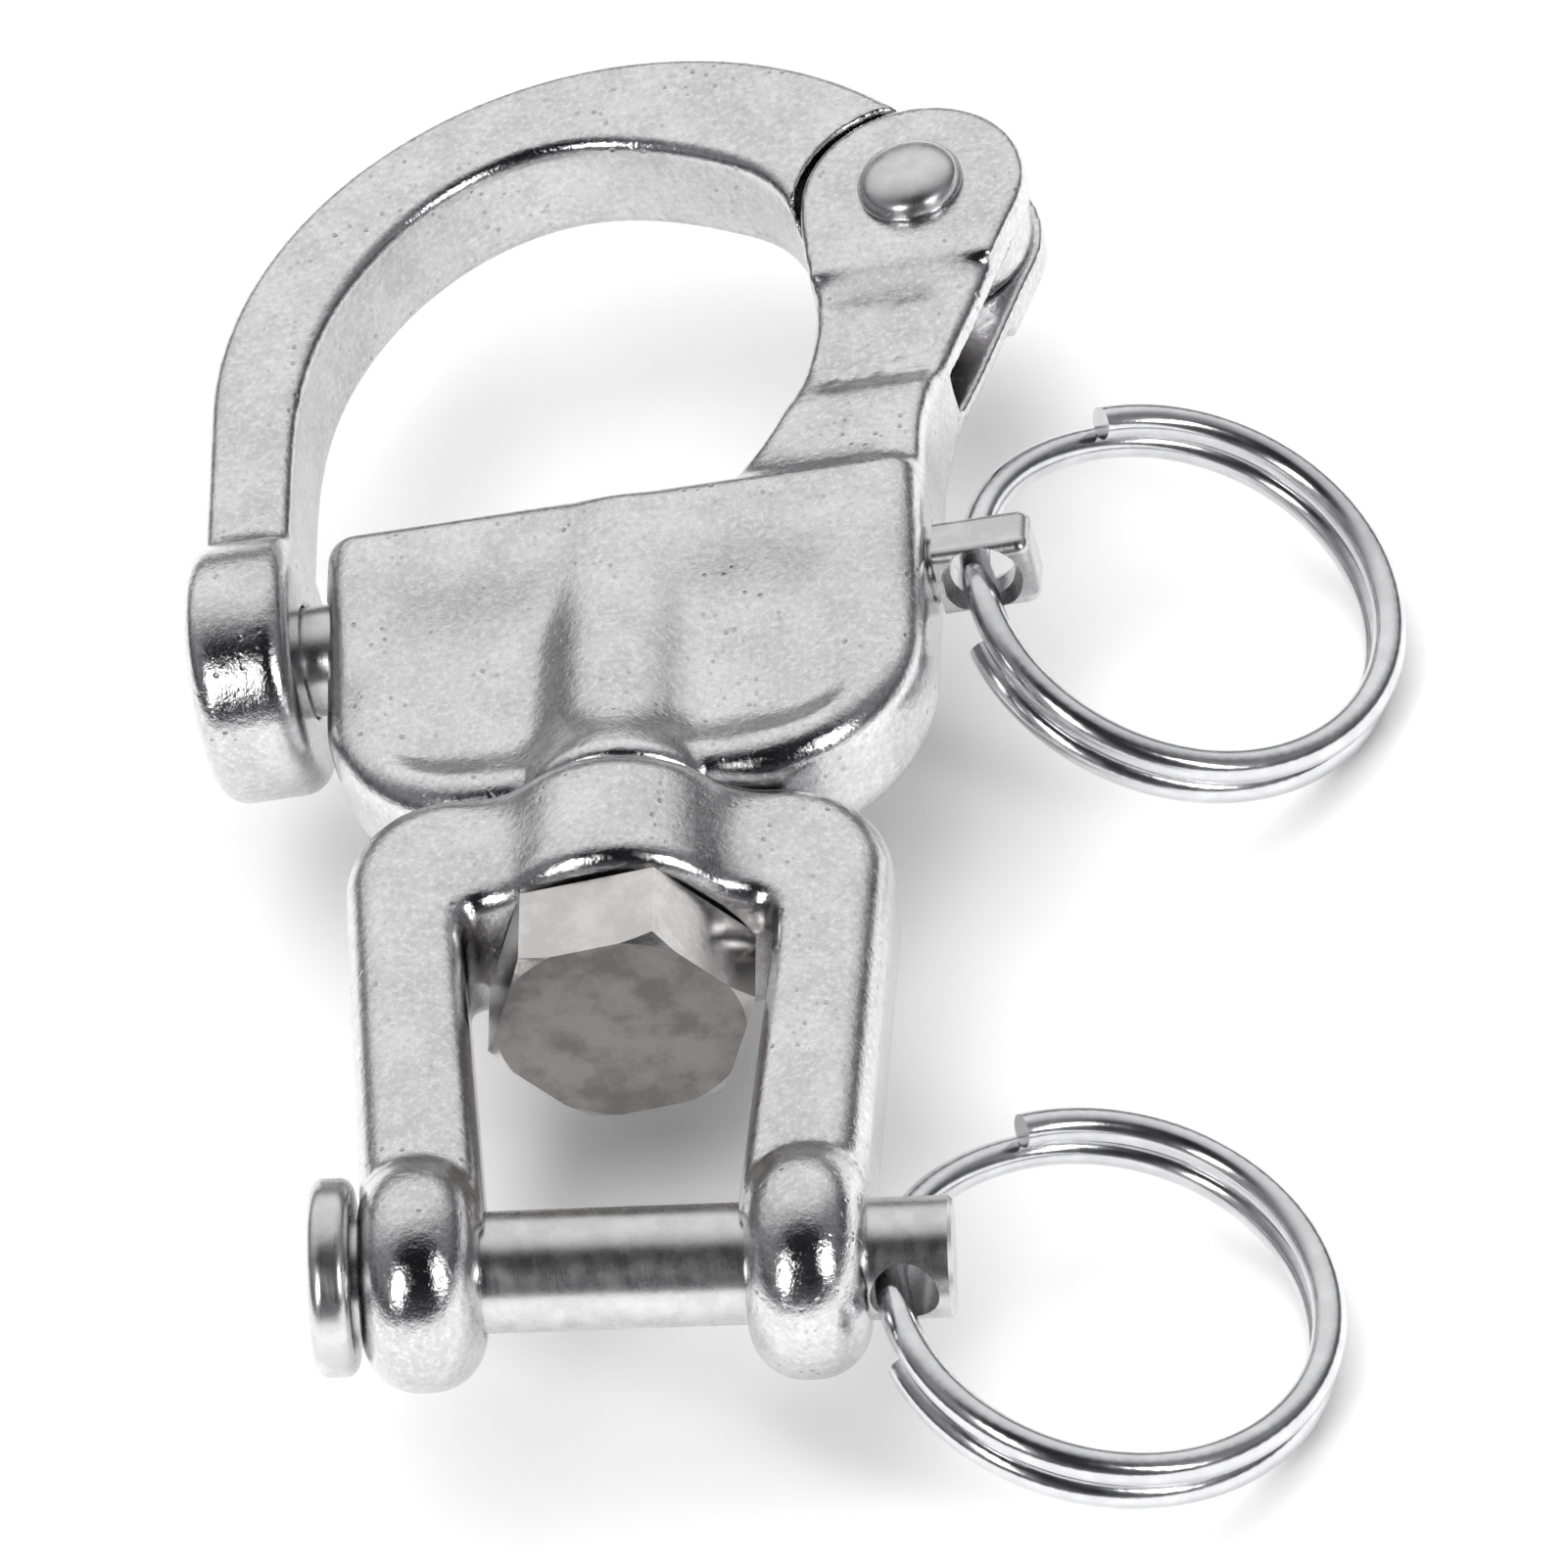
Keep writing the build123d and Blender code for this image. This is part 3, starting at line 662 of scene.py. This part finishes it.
def add_sky(settings):
    """A light tent: bright behind the object, grey above, dark low down and at the front."""
    world = bpy.data.worlds.new("studio")
    bpy.context.scene.world = world
    world.use_nodes = True
    shader = Shader(world.node_tree)
    way = shader.node("ShaderNodeTexCoord", output="Generated")
    front, rear, up = (
        shader.node("ShaderNodeVectorMath", {"operation": "DOT_PRODUCT"}, {0: way, 1: at}, "Value")
        for at in (FRONT_GAP, REAR_WALL, (0.0, 0.0, 1.0)))
    sky = shader.blend(rear.ramp(0.35, 0.95), TENT_GREY, TENT_WHITE)
    skirting = up.ramp(-0.15, 0.05) * (1 - up.ramp(0.20, 0.42))
    sky = shader.blend(skirting * 0.85, sky, SKIRTING_GREY)
    sky = shader.blend(front.ramp(0.72, 0.90), sky, GAP_BLACK)
    light = shader.node("ShaderNodeBackground", {}, {"Color": sky, "Strength": settings.light})
    out = world.node_tree.nodes.new("ShaderNodeOutputWorld")
    world.node_tree.links.new(light.out, out.inputs["Surface"])


def add_lamps(settings):
    """Two soft boxes in front and a ceiling that lights the floor."""
    for name, at, size, power, in_reflections in LAMPS:
        lamp = bpy.data.lights.new(name, "AREA")
        lamp.shape = "RECTANGLE"
        lamp.size, lamp.size_y = size
        lamp.energy = power * settings.light
        holder = bpy.data.objects.new(name, lamp)
        holder.location = at
        holder.visible_glossy = in_reflections
        aim = Vector((0, 0.04, 0)) - Vector(at)
        holder.rotation_euler = aim.to_track_quat("-Z", "Y").to_euler()
        bpy.context.scene.collection.objects.link(holder)


def add_camera(settings):
    """The camera, looking down on the front face."""
    data = bpy.data.cameras.new("camera")
    data.lens = settings.lens
    data.sensor_width = 36.0
    data.clip_start, data.clip_end = 0.05, 20.0
    camera = bpy.data.objects.new("camera", data)
    back = (CAMERA_AT - CAMERA_TO).normalized()
    right = CAMERA_UP.cross(back).normalized()
    up = back.cross(right)
    turn = Matrix((right, up, back)).transposed().to_4x4()
    camera.matrix_world = Matrix.Translation(CAMERA_AT) @ turn
    bpy.context.scene.collection.objects.link(camera)
    bpy.context.scene.camera = camera


class SHACKLE_OT_stage(bpy.types.Operator):
    """Plain pale floor, soft studio light and the camera"""
    bl_idname = "shackle.stage"
    bl_label = "Stage"

    def execute(self, context):
        settings = context.scene.shackle
        for add in (add_floor, add_sky, add_lamps, add_camera):
            add(settings)
        context.scene.view_settings.view_transform = "Standard"
        return {"FINISHED"}


class SHACKLE_PT_panel(bpy.types.Panel):
    """Settings and the operators in their order"""
    bl_idname = "SHACKLE_PT_panel"
    bl_label = "Snap Shackle"
    bl_space_type = "VIEW_3D"
    bl_region_type = "UI"
    bl_category = "Shackle"

    def draw(self, context):
        for group in (context.scene.shackle, context.scene.shackle_mesh):
            for name in group.__annotations__:
                self.layout.prop(group, name)
        for operator in OPERATORS:
            self.layout.operator(operator.bl_idname)


OPERATORS = (
    SHACKLE_OT_body, SHACKLE_OT_bail, SHACKLE_OT_fork, SHACKLE_OT_rivet, SHACKLE_OT_turned,
    SHACKLE_OT_stage)
CLASSES = (ShackleSettings, MeshSettings, *OPERATORS, SHACKLE_PT_panel)


def register():
    for cls in CLASSES:
        bpy.utils.register_class(cls)
    bpy.types.Scene.shackle = PointerProperty(type=ShackleSettings)
    bpy.types.Scene.shackle_mesh = PointerProperty(type=MeshSettings)


def unregister():
    del bpy.types.Scene.shackle_mesh
    del bpy.types.Scene.shackle
    for cls in reversed(CLASSES):
        bpy.utils.unregister_class(cls)


def main():
    """Makes every piece and the stage."""
    register()
    for operator in OPERATORS:
        group, name = operator.bl_idname.split(".")
        getattr(getattr(bpy.ops, group), name)()
    bpy.context.view_layer.update()


if __name__ == "__main__":
    main()
